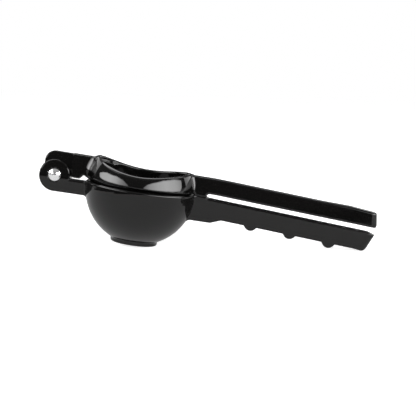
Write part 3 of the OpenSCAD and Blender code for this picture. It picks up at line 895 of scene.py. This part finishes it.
def white_ground(name):
    """A matt white sheet that also glows to the camera and, less, in reflections."""
    material = bpy.data.materials.new(name)
    material.use_nodes = True
    tree = material.node_tree
    tree.nodes.clear()
    diffuse = node(tree, "ShaderNodeBsdfDiffuse", Color=(0.8, 0.8, 0.8, 1))
    glow = node(tree, "ShaderNodeEmission")
    path = node(tree, "ShaderNodeLightPath")
    white = node(tree, "ShaderNodeMapRange")
    white.inputs["To Min"].default_value = MIRRORED_WHITE_PAINTED_SHADE
    white.inputs["To Max"].default_value = SEEN_WHITE
    seen = node(tree, "ShaderNodeMath", operation="MULTIPLY")
    mixed = node(tree, "ShaderNodeAddShader")
    output = node(tree, "ShaderNodeOutputMaterial")
    links = tree.links.new
    links(path.outputs["Is Camera Ray"], white.inputs["Value"])
    links(background_rays(tree), seen.inputs[0])
    links(white.outputs[0], seen.inputs[1])
    links(seen.outputs[0], glow.inputs["Strength"])
    links(diffuse.outputs[0], mixed.inputs[0])
    links(glow.outputs[0], mixed.inputs[1])
    links(mixed.outputs[0], output.inputs["Surface"])
    return material


mesh = bpy.data.meshes.new("white_ground")
floor_corners = [(FLOOR_HALF * i, FLOOR_HALF * j, 0) for i, j in ((-1, -1), (1, -1), (1, 1), (-1, 1))]
mesh.from_pydata(floor_corners, [], [range(len(floor_corners))])
floor = link_piece("white_ground", mesh)
floor.data.materials.append(white_ground("white_ground"))
print(f"floor {2 * FLOOR_HALF:.0f} m across")

# %% [markdown]
# ## The world
# Beyond the sheet the world is plain white too, to the camera and in reflections. For all other rays it
# is only a low, even light, so that the soft boxes do the shading. A Light Path node tells the rays
# apart, which spares a second background.

# %% A white world with a low light
AMBIENT = 0.2
world = bpy.data.worlds.new("studio")
bpy.context.scene.world = world
world.use_nodes = True
tree = world.node_tree
background = tree.nodes["Background"]
background.inputs["Color"].default_value = (1, 1, 1, 1)
level = node(tree, "ShaderNodeMapRange")
level.inputs["To Min"].default_value = AMBIENT
tree.links.new(background_rays(tree), level.inputs["Value"])
tree.links.new(level.outputs["Result"], background.inputs["Strength"])
print(f"world light {AMBIENT}")

# %% [markdown]
# ## Black drapes
# Gloss black is lit by what it mirrors. A studio hangs black drapes about the set, so that upper faces
# go deep black. Each cloth here has its own brightness at every point, kept with its mesh as an
# attribute, so that one material serves them all and a cloth can fade towards its ends. They are
# placed by the way one looks from the bowl: so many degrees round, and so many up.

# %% A cloth and its glow
SET_MIDDLE = Vector((bowl_place[0] * MM, 0.0, bowl_place[2] * MM))
COLUMNS, FLOOR_COLUMNS = 33, 17


def toward(azimuth, height, far):
    """A point about the bowl: azimuth 0 is in front and 90 to the right, height in degrees."""
    a, e = math.radians(azimuth), math.radians(height)
    return SET_MIDDLE + far * Vector((math.sin(a) * math.cos(e), -math.cos(a) * math.cos(e), math.sin(e)))


def lit_cloth(name):
    """A cloth that is as bright as its own mesh says, whichever way it is looked at."""
    material = bpy.data.materials.new(name)
    material.use_nodes = True
    tree = material.node_tree
    tree.nodes.clear()
    own = node(tree, "ShaderNodeAttribute", attribute_name="glow")
    glow = node(tree, "ShaderNodeEmission")
    output = node(tree, "ShaderNodeOutputMaterial")
    tree.links.new(own.outputs["Fac"], glow.inputs["Strength"])
    tree.links.new(glow.outputs[0], output.inputs["Surface"])
    return material


studio_cloth = lit_cloth("studio_cloth")


def cloth(name, rows, glows, lights=False):
    """A sheet through rows of points, with a brightness for each, that the camera doesn't see."""
    wide = len(rows[0])
    faces = [(r * wide + i, r * wide + i + 1, (r + 1) * wide + i + 1, (r + 1) * wide + i)
             for r in range(len(rows) - 1) for i in range(wide - 1)]
    mesh = bpy.data.meshes.new(name)
    mesh.from_pydata([tuple(p) for row in rows for p in row], [], faces)
    glow = mesh.attributes.new("glow", "FLOAT", "POINT")
    glow.data.foreach_set("value", np.broadcast_to(glows, (len(rows), wide)).ravel().astype(np.float32))
    made = link_piece(name, mesh)
    made.visible_camera = made.visible_shadow = made.visible_transmission = False
    made.visible_diffuse = lights
    made.data.materials.append(studio_cloth)


print("middle of the set:", [round(c, 3) for c in SET_MIDDLE])

# %% [markdown]
# ## Drapes all round
# Two tall drapes close the set in front and behind, a little lighter above than below, so that the tops
# of the castings keep a soft grey. A low grey strip stands behind, where the gloss would show the far
# ground, and two dark cloths lie on the floor in front. A cloth is only a few rows of points.

# %% Hang the drapes
DRAPE_FAR = 3.2
FLOOR_CLOTH_GLOW, FLOOR_CLOTH_Z = 0.06, 0.0005


def drape(name, start, end, levels):
    """A drape between two azimuths, from (height, brightness) levels."""
    turns = np.linspace(start, end, COLUMNS)
    rows = [[toward(a, h, DRAPE_FAR) for a in turns] for h, _ in levels]
    cloth(name, rows, np.array([[glow] for _, glow in levels]))


def floor_cloth(name, start, end, near):
    """A dark cloth on the floor, from a distance near outwards."""
    turns = np.linspace(start, end, FLOOR_COLUMNS)
    rows = [[Vector((*toward(a, 0, r).xy, FLOOR_CLOTH_Z)) for a in turns] for r in (near, DRAPE_FAR)]
    cloth(name, rows, FLOOR_CLOTH_GLOW)


upper_levels = [(20, 0.12), (30, 0.15), (34, 0.2), (42, 0.35), (60, 0.35), (75, 0.35), (89, 0.35)]
drape("drape_front", -100, 90, [(-0.6, 0.1), (10, 0.1)] + upper_levels)
drape("drape_back", 90, 260, [(5, 0.03), (10, 0.05)] + upper_levels)
drape("grey_behind", 90, 260, [(-0.5, 0.7), (2.2, 0.6), (3.4, 0.2), (5, 0.03)])
floor_cloth("floor_cloth", -50, 23, 0.5)
floor_cloth("floor_cloth_left", -105, -50, 0.9)
print("drapes hang", DRAPE_FAR, "m off")

# %% [markdown]
# ## Soft boxes and reflectors
# Two large soft boxes stand before the set, left and right, and draw the bright patches on the cup.
# Dimmer reflectors hang higher and behind, for the fine lines on rims and fillets. Only the soft boxes
# give light to the rest of the set. Area lamps could do it too, but they can't fade or follow a curve.

# %% Place the panels
LAMP_FAR = 3.0
ROW_SHARES = (0, 0.12, 0.5, 0.88, 1)
ROW_GLOWS = (0.5, 1, 1, 1, 0.5)


def soft_box(name, upper, lower, glows, lights=False):
    """A curved panel between two edges of (azimuth, height) points; glows are (azimuth, brightness)."""
    turns = np.linspace(upper[0][0], upper[-1][0], COLUMNS)
    top, base = np.interp(turns, *zip(*upper)), np.interp(turns, *zip(*lower))
    rows = [[toward(a, h, LAMP_FAR) for a, h in zip(turns, base + (top - base) * share)]
            for share in ROW_SHARES]
    bright = np.interp(turns, *zip(*glows))
    cloth(name, rows, np.array(ROW_GLOWS)[:, None] * bright, lights)


soft_box("soft_box_left",
         [(-103, 22), (-95, 25.5), (-82, 29.1), (-51, 29.8), (-35, 25.8), (-21, 16.1)],
         [(-103, 21), (-98, 17.5), (-90, 16.8), (-53, 16.2), (-40, 13), (-21, 8)],
         [(-103, 5), (-90, 8), (-66, 10.5), (-50, 9), (-36, 5), (-21, 2.5)], True)
soft_box("soft_box_right",
         [(11, 12.6), (14, 14.9), (20, 18.8), (30, 21.1), (57, 23.9), (86, 21), (104, 15)],
         [(11, 10), (15, 8), (29, 6), (53, 3.6), (74, 1), (96, 0), (101, 5), (104, 13)],
         [(11, 2.5), (24, 7), (40, 9.5), (62, 10.8), (84, 8.5), (96, 6), (104, 4)], True)
soft_box("reflector_left", [(-112, 50), (-80, 54), (-45, 54)],
         [(-112, 40), (-80, 38), (-45, 40)], [(-112, 2.4), (-45, 2.4)])
soft_box("reflector_right", [(76, 50), (95, 52), (135, 48)],
         [(76, 36), (95, 32), (135, 30)], [(76, 0.5), (88, 3), (135, 3)])
soft_box("reflector_behind_right", [(116, 16), (150, 16)],
         [(116, 4), (150, 4)], [(116, 1.8), (150, 1.8)])
soft_box("reflector_above", [(150, 80), (262, 80)],
         [(150, 45), (262, 45)], [(150, 4), (262, 4)])
soft_box("reflector_behind_left", [(-165, 30), (-118, 34)],
         [(-165, 11), (-118, 15)], [(-165, 0.9), (-118, 1.7)])
print("panels hang", LAMP_FAR, "m off")

# %% [markdown]
# ## The camera
# A long lens from a little over 0.6 m away keeps the cup's true outline. The camera stands just above
# the set, looks down by a few degrees and is rolled by one. Three plain turns in a row say that more
# clearly than a single set of Euler angles would.

# %% Camera and colour
CAMERA_PLACE = (0.013296, -0.625311, 0.095871)
CAMERA_PAN, CAMERA_DROP, CAMERA_ROLL = 1.2314, 6.4914, 1.1017
camera = bpy.data.objects.new("camera", bpy.data.cameras.new("camera"))
bpy.context.scene.collection.objects.link(camera)
camera.data.sensor_width = 36.0
camera.data.lens = 86.54
camera.matrix_world = (Matrix.Translation(CAMERA_PLACE)
                       @ Matrix.Rotation(math.radians(CAMERA_PAN), 4, "Z")
                       @ Matrix.Rotation(math.radians(90 - CAMERA_DROP), 4, "X")
                       @ Matrix.Rotation(math.radians(CAMERA_ROLL), 4, "Z"))
bpy.context.scene.camera = camera
bpy.context.scene.view_settings.view_transform = "Standard"
print(f"camera {Vector(CAMERA_PLACE).length:.2f} m from the middle of the part")
